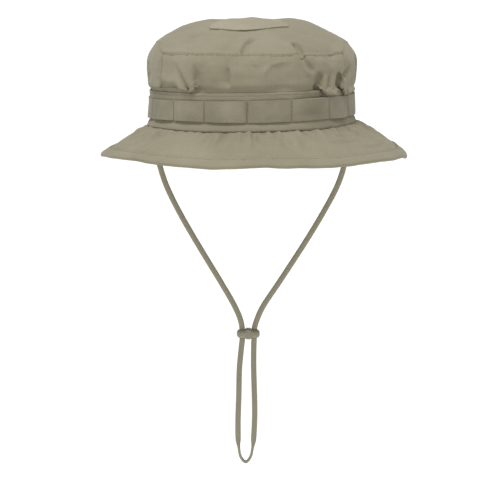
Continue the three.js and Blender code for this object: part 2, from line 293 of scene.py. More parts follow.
def makeWebbingWeave():
    # polyester webbing, tightly woven on a narrow loom: small staggered ribs and a low sheen
    setup = webbingSetup
    material, tree = newMaterial("wovenPolyesterWebbing", {
        "Roughness": 0.68, "IOR": 1.5, "Sheen Weight": 0.08, "Sheen Roughness": 0.4,
        "Specular IOR Level": 0.4,
    })
    flat = addNode(tree, "UVMap", {"uv_map": "UVMap"})
    diagonals = []
    for turn in (45, -45):
        turned = addNode(tree, "Mapping", {"Rotation": (0, 0, math.radians(turn))}, {"Vector": flat})
        wave = addNode(tree, "TexWave", {"Scale": bandScale(setup["pick"]), "Distortion": 0.0},
                       {"Vector": turned})
        diagonals.append(wave.outputs["Fac"])
    knots = addNode(tree, "Math", {"operation": "MULTIPLY"}, {0: diagonals[0], 1: diagonals[1]})
    soil = addNode(tree, "TexNoise", {"Scale": 1000 / setup["soil"], "Detail": 3.0},
                   {"Vector": addNode(tree, "TexCoord").outputs["Object"]})
    tone = addNode(tree, "Math", {"operation": "MULTIPLY_ADD", 1: 0.5}, {0: knots, 2: soil})
    base = addNode(tree, "MapRange", {"From Min": 0.35, "From Max": 1.0}, {"Value": tone})
    mix = addNode(tree, "Mix", {"data_type": "RGBA", 6: colour(setup["dark"]), 7: colour(setup["light"])},
                  {0: base})
    bump = addNode(tree, "Bump", {"Strength": 0.5, "Distance": 0.2 * mm}, {"Height": knots})
    joinShader(tree, {"Base Color": mix.outputs[2], "Normal": bump.outputs["Normal"]})
    return material


def makeTrimFinish(name, settings, shades, mottle, grain=None, relief=None, onUv=False):
    # an even finish of two shades, mottled at one size in mm, with relief (strength, mm) of another grain
    material, tree = newMaterial(name, settings)
    place = addNode(tree, "TexCoord").outputs["Object"]
    if onUv:
        place = addNode(tree, "UVMap", {"uv_map": "UVMap"})
    cloud = addNode(tree, "TexNoise", {"Scale": 1000 / mottle[0], "Detail": mottle[1]}, {"Vector": place})
    mix = addNode(tree, "Mix", {"data_type": "RGBA", 6: colour(shades[0]), 7: colour(shades[1])},
                  {0: cloud})
    joinShader(tree, {"Base Color": mix.outputs[2]})
    if grain:
        fine = addNode(tree, "TexNoise", {"Scale": 1000 / grain[0], "Detail": grain[1]}, {"Vector": place})
        bump = addNode(tree, "Bump", {"Strength": relief[0], "Distance": relief[1] * mm}, {"Height": fine})
        joinShader(tree, {"Normal": bump.outputs["Normal"]})
    return material


ripstop = makeRipstop("wovenCottonRipstop", ripstopSetup["light"], ripstopSetup["dark"])
# the same cloth in a shade lighter, painted light: the lighter colour stands in for the extra light that the
# raised, upward facing flap catches
paintedLightRipstop = makeRipstop("wovenCottonRipstopPaintedLight", ripstopSetup["paintedLitLight"], ripstopSetup["paintedLitDark"])
webbing = makeWebbingWeave()
# flat polyester braid: matt, with fine filaments running across each other in the plaits
braid = makeTrimFinish("braidedPolyesterLace", {
    "Roughness": 0.8, "IOR": 1.5, "Sheen Weight": 0.15, "Sheen Roughness": 0.5, "Specular IOR Level": 0.35,
}, ("#8d8873", "#a5a08b"), (0.9, 3.0), (0.9, 3.0), (0.3, 0.1), onUv=True)
# injection moulded nylon, dyed in the mass: satin, with a fine grain from the mould
plastic = makeTrimFinish("mouldedNylon", {"Base Color": colour("#958f7c"), "Roughness": 0.34, "IOR": 1.53},
                         ("#8b8572", "#9b957f"), (9, 2.0), (0.7, 3.0), (0.15, 0.05))
# spun polyester sewing thread: twisted, a touch darker and smoother than the cloth it holds
thread = makeTrimFinish("spunPolyesterThread", {"Roughness": 0.6, "IOR": 1.5},
                        ("#857f6c", "#958e7b"), (0.8, 2.0))
print("materials made")

# the cord's centre line, [x, z], from the left tab down, round and up to the right tab
cordRoute = [
    [-79.3, -0.3], [-80, -12], [-79.8, -26], [-76.8, -40], [-71.8, -54.4], [-61.9, -74.9],
    [-50.4, -95.5], [-38.3, -116], [-25.7, -137], [-14.2, -157.5], [-9.7, -168.5],
    [-8.2, -176.5], [-8.1, -184.5], [-9.2, -195.5], [-10.6, -211], [-11.2, -236], [-11.9, -260],
    [-11.3, -280], [-9.4, -289.5], [-5.2, -293.8], [-1.2, -289.5], [0.9, -280], [2.2, -264],
    [2.6, -248], [2.2, -230], [1.7, -211], [1.7, -195.5], [2, -184.5], [2.2, -176.5],
    [4.4, -168.5], [9.3, -157.5], [22.7, -137], [36.3, -116], [49.2, -95.5], [61.3, -74.9],
    [72, -54.4], [77.2, -40], [79.8, -26], [80, -12], [79.3, -0.3],
]
cord = dict(
    width=4.8, thickness=2.1, around=16, step=0.6,
    plait=3.6, lean=2.4, relief=0.16,  # length of one plait, how it leans and how far it stands out
    turnHeight=-284, turnOver=16,  # below this it turns edge on, over this length
)


def smoothRoute(points, step):
    # a smooth curve through the points, as even short steps
    def between(a, b, start, end):
        return a * (end - t) / (end - start) + b * (t - start) / (end - start)

    points = np.array(points, float)
    ends = np.vstack([2 * points[0] - points[1], points, 2 * points[-1] - points[-2]])
    knots = np.concatenate([[0], np.cumsum(np.sqrt(np.linalg.norm(np.diff(ends, axis=0), axis=1)))])
    fine = []
    for i in range(1, len(ends) - 2):
        at, spots = knots[i - 1:i + 3], ends[i - 1:i + 3]
        t = np.linspace(at[1], at[2], 40, endpoint=False)[:, None]
        legs = [between(spots[j], spots[j + 1], at[j], at[j + 1]) for j in range(3)]
        bends = [between(legs[j], legs[j + 1], at[j], at[j + 2]) for j in range(2)]
        fine.append(between(*bends, at[1], at[2]))
    fine = np.vstack([*fine, ends[-2:-1]])
    length = np.concatenate([[0], np.cumsum(np.linalg.norm(np.diff(fine, axis=0), axis=1))])
    even = np.linspace(0, length[-1], int(length[-1] / step) + 1)
    return np.stack([np.interp(even, length, column) for column in fine.T], axis=1), length[-1]


def makeCord():
    line, length = smoothRoute([[x, 0, z] for x, z in cordRoute], cord["step"])
    rings = len(line) - 1
    tangent = np.gradient(line, axis=0)
    tangent /= np.linalg.norm(tangent, axis=1)[:, None]
    # across the cord, in the plane that it hangs in
    across = np.stack([tangent[:, 2], np.zeros(rings + 1), -tangent[:, 0]], axis=1)
    front = np.array([0.0, -1.0, 0.0])
    edgeOn = 1 - smoothStep(line[:, 2], cord["turnHeight"], cord["turnHeight"] + cord["turnOver"])
    turn = edgeOn * math.pi / 2

    def place(u, v):
        ring = np.rint(u * rings).astype(int)
        cos, sin = np.cos(v * 2 * math.pi), np.sin(v * 2 * math.pi)
        # a flat strand with round edges, raised where a plait comes to the top
        wide = np.sign(cos) * np.abs(cos) ** 0.8 * cord["width"] / 2
        thick = np.sign(sin) * np.abs(sin) ** 0.7 * cord["thickness"] / 2
        plaits, leaning = ring * cord["step"] / cord["plait"], wide / cord["lean"]
        crossing = np.sin(2 * math.pi * (plaits + leaning)) * np.sin(2 * math.pi * (plaits - leaning))
        swell = 1 + cord["relief"] * crossing
        wideWay = across[ring] * np.cos(turn[ring])[:, None] + front * np.sin(turn[ring])[:, None]
        thickWay = np.cross(tangent[ring], wideWay)
        point = line[ring] + wideWay * wide[:, None] + thickWay * (thick * swell)[:, None]
        return point.T

    piece = newSheet("chinCord", rings, cord["around"], (length, 14), place)
    mergeSeams(piece)
    editWhole(piece, (bpy.ops.mesh.fill_holes, dict(sides=0)),
              (bpy.ops.mesh.normals_make_consistent, dict(inside=False)))
    bpy.ops.object.shade_smooth()
    return dress(piece, braid, "chin_cord"), line, length


slider = dict(
    depth=8.0, height=7.4, rounding=3.0,
    saddle=5.4, saddleRounding=1.6,  # the fuller middle between its two slots
    slotAt=5.1, slotWidth=5.6, slotDepth=3.0, edge=0.35,
)


def makeSlider():
    low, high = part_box("cord_slider")
    centre, size = (low + high) / 2, high - low
    cube, cylinder = bpy.ops.mesh.primitive_cube_add, bpy.ops.mesh.primitive_cylinder_add
    body = addPrimitive(cube, "cordSlider", (size.x, slider["depth"] * mm, slider["height"] * mm),
                        size=1, location=centre)
    saddle = addPrimitive(cube, "saddle", (slider["saddle"] * mm, size.y, size.z), size=1, location=centre)
    editWhole(body, roundEdges(slider["rounding"], 8))
    editWhole(saddle, roundEdges(slider["saddleRounding"], 6))
    slots = [addPrimitive(cylinder, "slot", (slider["slotWidth"] * mm, slider["slotDepth"] * mm, 20 * mm),
                          vertices=32, radius=0.5, depth=1,
                          location=(centre.x + side * slider["slotAt"] * mm, centre.y, centre.z))
             for side in (-1, 1)]
    for other, operation in ((saddle, "UNION"), (slots[0], "DIFFERENCE"), (slots[1], "DIFFERENCE")):
        addModifier(body, "BOOLEAN", object=other, operation=operation, solver="EXACT")
    addModifier(body, "BEVEL", width=slider["edge"] * mm, segments=2, limit_method="ANGLE",
                angle_limit=math.radians(40))
    applyModifiers(body)
    for other in (saddle, *slots):
        bpy.data.objects.remove(other)
    selectOnly(body)
    bpy.ops.object.shade_smooth_by_angle(angle=math.radians(40))
    return dress(body, plastic, "cord_slider")


chinCord, cordLine, cordLength = makeCord()
cordSlider = makeSlider()
print("cord and slider made, cord length", round(cordLength), "mm")


hat = dict(
    cloth=1.8, roll=1.8,  # two plies thick; the band and the seam below it sit higher on the right
    halfWidth=83.8, halfDepth=102.3,  # outside, at the foot of the crown
    seamFront=60.5, seamSides=68, panelSeams=(-57.6, 60.4),
    domeHeight=88, roundFront=1.8, roundSides=3.0, squareness=0.92,
)
wallShape = dict(
    height=[0, 32, 36, 47, 56, 63, 68],
    halfWidth=[83.8, 84.2, 86.3, 88.2, 87.9, 84.9, 80.5],
    halfDepth=[102.3, 102.6, 105.2, 106.0, 104.0, 100.2, 96.6],
)
topDents = [  # where, how wide and how high
    (-37, 8, 16, 1.4), (37, 8, 17, 2.2), (74, 0, 14, -2.6), (-61, 5, 12, 0.8), (37, -70, 15, -2.6),
    (-2, 52, 24, -1.6), (-1, -8, 27, -2.4),
]
clothOver = dict(
    # at its foot the crown's cloth bulges, or hangs over the band: by height, how far it goes out and up
    height=[29, 31, 32, 33.5, 35.5, 38.5, 42, 46],
    hangOut=[0, 0.2, 2.2, 3.4, 3.2, 2.4, 1.4, 0], hangUp=[0, 0.8, 0.3, -5, -10.5, -10.5, -5, 0],
    bulgeOut=[0, 0, 0.8, 2.6, 3.2, 2.4, 1.2, 0], bulgeUp=[0, 0, 0, 0.2, -1.0, -1.6, -0.8, 0],
    # angle, and how much of each there is
    hang=[(-135, 0.3), (-120, 0.55), (-108, 0.3), (-97, 0.22), (-84, 0.1), (-74, 0), (-42, 0), (-38, 0.2),
          (-34.5, 0.34), (-32.4, 0.28), (-29.5, 0), (36.3, 0), (39.5, 0.5), (42.5, 0.8), (48.6, 0.92),
          (51.4, 0.1), (55, 0.05), (57.4, 0.85), (60, 1), (66, 0.85), (72, 0.55), (78, 0.3), (86, 0.15),
          (95, 0.2), (108, 0.3), (118, 0.55), (128, 0.4), (150, 0.5), (160, 0.2), (200, 0.2), (212, 0.5)],
    bulge=[(-76, 0.2), (-68, 1), (-44, 1), (-36, 0.3), (-28, 0.2), (30, 0.2), (37, 0), (72, 0), (84, 0.15),
           (98, 0.2), (112, 0.3), (160, 0.5), (200, 0.5), (250, 0.4), (262, 0.15)],
)


def onOval(angle, z, out=0, halfWidth=hat["halfWidth"], halfDepth=hat["halfDepth"]):
    turn = np.radians(angle)
    outX, outY = halfDepth * np.sin(turn), -halfWidth * np.cos(turn)
    length = np.maximum(np.hypot(outX, outY), 1e-9)
    return np.stack([halfWidth * np.sin(turn) + out * outX / length,
                     -halfDepth * np.cos(turn) + out * outY / length, z + 0 * turn], axis=-1)


def seamHeight(angle):
    # it rises from the front to the sides
    away = np.abs(turnBetween(0, angle))
    return hat["seamFront"] + (hat["seamSides"] - hat["seamFront"]) * smoothStep(away, 58, 74)


def wallSection(z):
    # the wall's half width and half depth, with the bends between its heights rounded off
    nearby = [np.minimum(level, wallShape["height"][-1]) for level in (z - 1.5, z, z + 1.5)]
    return [sum(np.interp(level, wallShape["height"], wallShape[side]) for level in nearby) / 3
            for side in ("halfWidth", "halfDepth")]


def rollLift(angle, share):
    return hat["roll"] * np.sin(np.radians(angle)) * share


def amountAt(angle, way):
    angles, amounts = np.array(clothOver[way]).T
    return np.interp(angle, angles, amounts, period=360)


def wallPoint(angle, z):
    halfWidth, halfDepth = wallSection(z)
    out, lift = 0, rollLift(angle, 1 - smoothStep(z, 31, 56.5))
    for way in ("hang", "bulge"):
        amount = amountAt(angle, way)
        out = out + amount * np.interp(z, clothOver["height"], clothOver[way + "Out"])
        lift = lift + amount * np.interp(z, clothOver["height"], clothOver[way + "Up"])
    return onOval(angle, z + lift, out, halfWidth, halfDepth)


def domePoint(angle, share):
    seam = seamHeight(angle)
    halfWidth, halfDepth = wallSection(seam)
    x, y, _ = onOval(angle, 0, 0, halfWidth * share, halfDepth * share).T
    toSide = np.sin(np.radians(angle)) ** 2
    roundness = hat["roundFront"] + (hat["roundSides"] - hat["roundFront"]) * toSide
    rise = (1 - np.minimum(share, 1) ** roundness) ** hat["squareness"]
    z = seam + (hat["domeHeight"] - seam) * rise
    for dentX, dentY, radius, height in topDents:
        z = z + height * hump(np.hypot(x - dentX, y - dentY) / radius) * (1 - share ** 6)
    return np.stack([x, y, z], axis=-1)


def angleAt(x, y):
    return np.degrees(np.arctan2(x / hat["halfWidth"], -y / hat["halfDepth"]))


def domeHeight(x, y):
    angle = angleAt(x, y)
    halfWidth, halfDepth = wallSection(seamHeight(angle))
    return domePoint(angle, np.hypot(x / halfWidth, y / halfDepth))[..., 2]


def angleOf(points):
    return angleAt(points[:, 0], points[:, 1])


def alongPath(points, path):
    # each point's distance from the path, the way from the path to it, and how far along it lies
    path = np.array(path, float)
    lengths = np.linalg.norm(np.diff(path, axis=0), axis=1)
    starts = np.concatenate([[0], np.cumsum(lengths)])
    nearest = np.full(len(points), 1e9)
    away = np.zeros((len(points), 3))
    heading = np.zeros((len(points), 3))
    along = np.zeros(len(points))
    for i, length in enumerate(lengths):
        direction = (path[i + 1] - path[i]) / length
        t = np.clip((points - path[i]) @ direction, 0, length)
        apart = points - path[i] - t[:, None] * direction
        distance = np.linalg.norm(apart, axis=1)
        closer = distance < nearest
        nearest[closer] = distance[closer]
        away[closer] = apart[closer]
        heading[closer] = direction
        along[closer] = (starts[i] + t[closer]) / starts[-1]
    return nearest, away, heading, along


def pressCrease(points, normals, path, width, depth, right=0, left=0, start=0.25, end=0.25, sharp=1.4,
                leftWidth=None):
    # presses a valley along the path and lifts a ridge on its right or left, which are the viewer's
    # where the path goes down; it fades in over the share start and out over the share end
    distance, away, heading, along = alongPath(points, path)
    side = np.einsum("ij,ij->i", np.cross(normals, heading), away)
    fade = (smoothStep(along, 0, start) if start else 1) * (1 - smoothStep(along, 1 - end, 1) if end else 1)
    reach = np.where(side < 0, leftWidth or width, width)
    valley = -depth * np.exp(-(distance / reach) ** sharp)  # 2 is a round hollow, less is sharper
    ridges = sum(height * hump((side - way * 2 * width) / (1.1 * width))
                 for height, way in ((right, 1), (left, -1)))
    return (valley + ridges * hump(distance / (3.2 * width))) * fade


def pressCreases(points, normals, creases, placeOf, push):
    # adds all the creases of a list; placeOf lays the corners of a path on the piece
    for width, depth, path, *more in creases:
        laid = [placeOf(*map(float, corner)) for corner in path]
        push = push + pressCrease(points, normals, laid, width, depth, **dict(*more))
    return push


def pucker(arc, distance, seed, pitch=3.6, reach=4.5, height=0.4):
    # small gathers beside a seam, from thread drawn tighter than the cloth
    ripples = np.array([noise.noise((a / pitch, d / 14, seed * 9.7)) for a, d in zip(arc, distance)])
    return ripples * 1.7 * height * hump(distance / reach)


crown = dict(
    columns=384, rows=34, wallCut=(610, 68), topGrid=96, topCut=(172, 206),
    ease=0.03,  # the cloth is cut this much larger than the form that it hangs on
    stiffness=15, bending=0.5, frames=20,
    before=0.5, after=1.0,  # how much of the folds is pressed in before the cloth settles and after
    seamDepth=0.85, seamWidth=0.8, uprightDepths=(1.7, 1.0),  # the left upright seam is the deeper one
    topSeam=560, upright=40,  # the seams' lengths, for the gathers along them
)
# creases: width, depth (a ridge where it is negative), path, and what differs from pressCrease's own
wallCreases = [  # paths of (angle, height) on the wall, going down
    (2.8, 2.5, [(-45.5, 54), (-42.4, 46.5), (-38.4, 40), (-35.4, 34.5)],
     dict(right=1.0, start=0.6, end=0.05)),
    (8.5, 1.7, [(-52, 54), (-50, 47)], dict(start=0, end=0, sharp=2)),
    (3.0, 2.0, [(-58, 37.5), (-51, 37), (-45, 36.2), (-40, 35)], dict(start=0.1, end=0.3, sharp=2)),
    (6.5, 3.0, [(-32.2, 55), (-31.6, 47), (-31, 40), (-30.4, 34), (-30, 30)],
     dict(leftWidth=1.4, left=0.3, start=0.45, end=0, sharp=1.2)),
    (5, -0.9, [(-21, 57), (-20, 46), (-21, 36)], dict(end=0.4)),
    (5, 1.1, [(-16, 54.5), (-12.6, 55), (-9.5, 54)], dict(start=0, end=0, sharp=2)),
    (1.3, 2.8, [(-12.8, 55), (-12.6, 47), (-12.4, 40), (-12.2, 33)],
     dict(leftWidth=7, right=0.4, start=0.4, end=0.35, sharp=1.2)),
    (3.2, -0.8, [(-2, 59), (1, 55), (1, 51)]),
    (10.5, 1.9, [(15.5, 50), (16.5, 44), (16.5, 38)], dict(start=0, end=0, sharp=2)),
    (2.6, -1.0, [(5.5, 40), (6.5, 47), (10, 53), (16, 55.5), (22, 55)], dict(start=0.3, end=0.4)),
    (2.4, 2.4, [(27, 61), (28.4, 57), (30.6, 52), (33.4, 47.6), (35, 45)],
     dict(left=1.3, start=0, end=0.3)),
    (2.9, 3.6, [(39.2, 47), (38, 41), (37.2, 36), (37.4, 32)], dict(right=1.1, start=0.3, end=0)),
    (1.9, 1.7, [(46, 47), (44.2, 40), (42.6, 35)], dict(right=0.5, left=0.3, start=0.4, end=0.1)),
    (3.4, 6.2, [(56.5, 44.5), (55, 41), (53.4, 37), (53.0, 32)], dict(left=0.5, start=0.3, end=0)),
    (1.9, -1.5, [(58.8, 44), (58.6, 38), (60, 34)], dict(start=0.3, end=0.1)),
    (1.8, 1.6, [(57.5, 44), (63.5, 47), (67, 52)], dict(right=0.4, start=0.1, end=0.3)),
    (3.2, 1.1, [(46.4, 55), (47.6, 54)], dict(start=0, end=0)),
    (2.2, 1.0, [(68, 43), (69, 38), (69, 34)], dict(end=0)),
    (3.0, 0.9, [(33, 59), (45, 58), (56, 60)]),
    (3.5, 1.6, [(78, 60), (82, 50), (80, 42), (82, 35)], dict(right=0.5, end=0.1)),
    (6, 1.8, [(97, 58), (102, 46), (104, 35)], dict(left=0.8, end=0.1)),
    (2.6, 2.4, [(110, 50), (108, 42), (109, 34)], dict(left=0.8, end=0.1)),
    (3.4, 2.2, [(126, 53), (124, 44), (125, 35)], dict(right=0.8, end=0.1)),
    (5, 2.0, [(143, 58), (140, 46), (138, 34)], dict(right=0.8, end=0.1)),
    (3.0, 2.4, [(158, 52), (160, 42), (157, 34)], dict(left=0.8, end=0.1)),
    (6, 1.6, [(178, 58), (181, 45), (182, 33)], dict(right=0.6, end=0.1)),
    (3.4, 2.2, [(-160, 56), (-158, 45), (-161, 34)], dict(left=0.7, end=0.1)),
    (5, 2.2, [(-138, 60), (-135, 46), (-137, 34)], dict(right=0.8, end=0.1)),
    (3.0, 2.3, [(-112, 54), (-110, 43), (-111, 34)], dict(left=0.8, end=0.1)),
    (6, 1.6, [(-98, 59), (-101, 46), (-102, 35)], dict(right=0.7, end=0.1)),
    (4, 1.4, [(-80, 54), (-77, 45), (-79, 38)], dict(left=0.6, end=0.2)),
]
topCreases = [  # paths of (x, y) on the top
    (2.7, 4.2, [(34, -70), (36.8, -79), (39.2, -87), (41.5, -94)],
     dict(right=0.6, left=1.1, start=0.2, end=0)),
    (5.0, 1.8, [(36, -84), (48, -79), (60, -69), (70, -57)], dict(left=0.5, start=0.1)),
    (2.3, 2.2, [(8, -74.5), (0.3, -77.5), (-3.4, -85), (-5.6, -94), (-8, -100)],
     dict(left=1.0, start=0.35, end=0.1)),
    (5, 1.2, [(-11, -62), (-15.6, -80), (-21.5, -95)], dict(end=0.1)),
    (6, 0.7, [(-44, -50), (-50, -62), (-46, -72)]),
    (8, 1.6, [(-66, 22), (-58, 46), (-40, 66)]),
    (8, 1.8, [(64, 28), (55, 52), (36, 72)]),
    (5, 1.4, [(-12, 84), (2, 74), (22, 70)], dict(right=0.7)),
]


def concentric(u, v):
    # a square grid spread over a disc, so that its edge has evenly spaced points
    a, b = 2 * u - 1, 2 * v - 1
    sideways = np.abs(a) >= np.abs(b)
    radius = np.where(sideways, a, b)
    safe = np.where(np.abs(radius) < 1e-9, 1, radius)
    turn = np.where(sideways, 45 * b / safe, 90 - 45 * a / safe)
    turn = np.where(radius < 0, turn + 180, turn)
    return np.abs(radius), turn


def hangCloth(piece, held, eased, settings):
    # lets the cloth settle: it grows a little where it is eased, and its slack falls into folds
    # between the points that are held
    for name, shares in (("held", held), ("eased", eased)):
        group = piece.vertex_groups.new(name=name)
        levels = np.round(shares, 2)
        for level in np.unique(levels):
            group.add([int(i) for i in np.flatnonzero(levels == level)], float(level), "REPLACE")
    sim = addModifier(piece, "CLOTH")
    stiff = settings["stiffness"]
    fabric = setAll(sim.settings, quality=6, mass=0.05, tension_stiffness=stiff, compression_stiffness=stiff,
                    shear_stiffness=stiff / 3, bending_stiffness=settings["bending"], pin_stiffness=1.0,
                    vertex_group_mass="held", vertex_group_shrink="eased",
                    shrink_min=0, shrink_max=-settings["ease"])
    fabric.effector_weights.gravity = 0
    setAll(sim.point_cache, frame_start=1, frame_end=settings["frames"])
    for frameNumber in range(1, settings["frames"] + 1):
        bpy.context.scene.frame_set(frameNumber)
    selectOnly(piece)
    bpy.ops.object.modifier_apply(modifier="cloth")
    piece.vertex_groups.clear()
    bpy.context.scene.frame_set(1)


def crownFolds(points, normals):
    push = pressCreases(points, normals, wallCreases, wallPoint, np.zeros(len(points)))
    angle = angleOf(points)
    drooped = 9 * amountAt(angle, "hang")  # where the cloth hangs, its folds run on down
    push *= smoothStep(points[:, 2] - rollLift(angle, 1) + drooped, 29.5, 34)
    return pressCreases(points, normals, topCreases, lambda x, y: (x, y, domeHeight(x, y)), push)


def panelSeams(body):
    # which points lie on the top seam, and which on the two upright seams between the panels
    panelOf = readAll(body.data.polygons, "material_index", kind=np.int32)
    sizes = readAll(body.data.polygons, "loop_total", kind=np.int32)
    corners = readAll(body.data.loops, "vertex_index", kind=np.int32)
    touches = np.zeros((len(body.data.vertices), 3), bool)
    touches[corners, np.repeat(panelOf, sizes)] = True
    front, back, top = touches.T
    return top & (front | back), front & back


def makeCrown():
    def placeWall(u, v):
        angle = 360 * u - 180
        seam = seamHeight(angle)
        # the rows lie closest where the cloth meets the band
        z = np.where(v < 0.62, np.interp(v, [0, 0.1, 0.2, 0.62], [0, 27, 31, 46]), np.where(
            v < 0.88, 46 + (seam - 50) * (v - 0.62) / 0.26, seam - 4 + 4 * (v - 0.88) / 0.12))
        return wallPoint(angle, z).T

    def placeTop(u, v):
        radius, turn = concentric(u, v)
        return domePoint(turn + 90, 1.3 * radius - 0.3 * radius ** 2).T

    wall = newSheet("crownWall", crown["columns"], crown["rows"], crown["wallCut"], placeWall)
    middles = angleOf(readAll(wall.data.polygons, "center", 3))
    atFront = (middles > hat["panelSeams"][0]) & (middles < hat["panelSeams"][1])
    top = newSheet("crownTop", crown["topGrid"], crown["topGrid"], crown["topCut"], placeTop)
    markers = [bpy.data.materials.new(name) for name in ("frontMarker", "backMarker", "topMarker")]
    for sheet, panelOf in ((wall, np.where(atFront, 0, 1)), (top, np.full(len(top.data.polygons), 2))):
        for marker in markers:  # a panel's own marker, by which it is parted from the others later
            sheet.data.materials.append(marker)
        sheet.data.polygons.foreach_set("material_index", panelOf.astype(np.int32))
    selectOnly(wall, top)
    bpy.ops.object.join()
    body = bpy.context.object
    mergeSeams(body, 0.05)

    # the broad folds, half pressed, then the slack of the cloth between them
    points, normals = readShape(body)
    points += normals * crown["before"] * crownFolds(points, normals)[:, None]
    writePoints(body, points)
    angle = angleOf(points)
    z = points[:, 2] - rollLift(angle, 1)
    onTopSeam, onSideSeam = panelSeams(body)
    isTop = (points[:, 2] > seamHeight(angle) + 1) & (np.hypot(
        points[:, 0] / hat["halfWidth"], points[:, 1] / hat["halfDepth"]) < 0.97)
    over = (z < 40) & (amountAt(angle, "hang") > 0.15)
    held = np.select([onTopSeam | (z < 32), over, onSideSeam, isTop], [1.0, 0.6, 0.3, 0.55], 0.04)
    hangCloth(body, held, np.where(isTop, 0.1, 1.0), crown)
    addModifier(body, "SUBSURF", levels=1, render_levels=1)
    applyModifiers(body)

    # seams: a narrow groove, with small gathers on both sides of it
    points, normals = readShape(body)
    points += normals * crown["after"] * crownFolds(points, normals)[:, None]
    angle = angleOf(points)
    onTopSeam, onSideSeam = panelSeams(body)
    ring = points[onTopSeam][np.argsort(angle[onTopSeam])]
    distance, away, _, along = alongPath(points, np.vstack([ring, ring[:1]]))
    # on the sides the seam is pressed flat
    sideways = np.abs(angle)
    drawn = 1 - 0.85 * smoothStep(sideways, 59, 66) * (1 - smoothStep(sideways, 105, 125))
    push = -crown["seamDepth"] * drawn * hump(distance / crown["seamWidth"])
    lapped = (1 - 0.8 * smoothStep(sideways, 62, 76)) * smoothStep(distance, 0, 0.8) * hump(distance / 3.5)
    push += np.where(away[:, 2] > 0, 0.35, -0.25) * lapped
    arc = along * crown["topSeam"]
    push += drawn * pucker(arc, np.where(away[:, 2] > 0, distance, -distance), 3, height=0.65)
    pits = smoothStep(wobble(np.stack([arc, 0 * arc, 0 * arc], 1), 7, 9), 0.35, 0.9)
    push -= 0.9 * drawn * pits * hump(distance / 1.8)  # here and there a gather is sewn in
    for side, seed, depth in zip((-1, 1), (5, 8), crown["uprightDepths"]):
        upright = points[onSideSeam & (np.sign(angle) == side) & (points[:, 2] > 20)]
        distance, _, _, along = alongPath(points, upright[np.argsort(upright[:, 2])])
        push -= depth * hump(distance / crown["seamWidth"])
        push += pucker(along * crown["upright"], distance, seed, pitch=4.5, height=0.35)
    # a light overall unevenness, as washed cotton has
    free = smoothStep(points[:, 2], 32, 38)
    push += free * (0.28 * wobble(points, 11, 4) + 0.12 * wobble(points, 4.5, 6))
    points += normals * push[:, None]
    writePoints(body, points)

    editWhole(body, (bpy.ops.mesh.separate, dict(type="MATERIAL")))
    panels = {}
    for part in list(bpy.context.selected_objects):
        middle = readPoints(part).mean(axis=0)
        if middle[2] > 65:
            name, node = "crownTop", "crown_top"
        elif middle[1] < -40:
            name, node = "crownFront", "crown_front_panel"
        else:
            name, node = "crownBack", "crown_back_panel"
        part.name = part.data.name = name
        part.data.polygons.foreach_set("material_index", np.zeros(len(part.data.polygons), np.int32))
        thicken(part, hat["cloth"], levels=0)
        panels[name] = dress(part, ripstop, node)
    for marker in markers:
        bpy.data.materials.remove(marker)
    return panels


crownPanels = makeCrown()
print("crown made", {name: len(part.data.polygons) for name, part in crownPanels.items()})


flap = dict(
    middle=-2.3, halfWidth=32.4, corner=-42, tilt=2, apex=-0.11, point=14.5, back=3, side=6,
    cloth=1.3, sunk=0.35, lift=0.8, swell=2.1, hem=5, cut=(67, 60),
)


def flapEdges(across):
    # the y of its loose front edge, a blunt point, and of its sewn back edge
    apex = flap["apex"]
    fromApex = np.where(across < apex, (apex - across) / (1 + apex), (across - apex) / (1 - apex))
    corner = flap["corner"] + flap["tilt"] * across
    front = corner - flap["side"] / 2 - flap["point"] * (1 - np.minimum(1, fromApex) ** 1.3)
    inwards = 1 - np.minimum(np.abs(across), 1) ** 2
    return front, corner + flap["side"] / 2 + (flap["back"] - flap["corner"]) * inwards


def makeFlap():
    def place(u, v):
        across = 2 * u - 1
        front, back = flapEdges(across)
        toFront = 1 - v
        x = flap["middle"] + across * flap["halfWidth"]
        y = back + (front - back) * toFront
        lip = flap["lift"] * hump((across - flap["apex"] - 0.03) / 0.24) * toFront ** 4
        swell = flap["swell"] * (1 - across ** 2) ** 0.5 * np.sin(np.pi * toFront) ** 0.7
        return x, y, domeHeight(x, y) - flap["sunk"] + lip + swell + flap["cloth"]

    piece = newSheet("topFlap", 96, 48, flap["cut"], place)
    points, normals = readShape(piece)
    x, y = points[:, 0] - flap["middle"], points[:, 1]
    front, back = flapEdges(x / flap["halfWidth"])
    push = 0.25 * wobble(points, 9, 12) + 0.25 * wobble(points, 20, 14)
    push -= 0.35 * hump((y - front - flap["hem"]) / 0.9)  # the hem's stitching
    push += pucker(x, y - front - flap["hem"], 21, height=0.25)
    push -= 0.7 * hump((back - y) / 1.6)  # sewn down behind
    push += 1.6 * hump((x - 2) / 7) * hump((y + 20) / 18)  # a small hump on its middle
    points += normals * push[:, None]
    # the flap gets the lighter copy of the cloth, painted light
    return finishSheet(piece, points, flap["cloth"], paintedLightRipstop, "top_flap")


topFlap = makeFlap()
print("flap made")


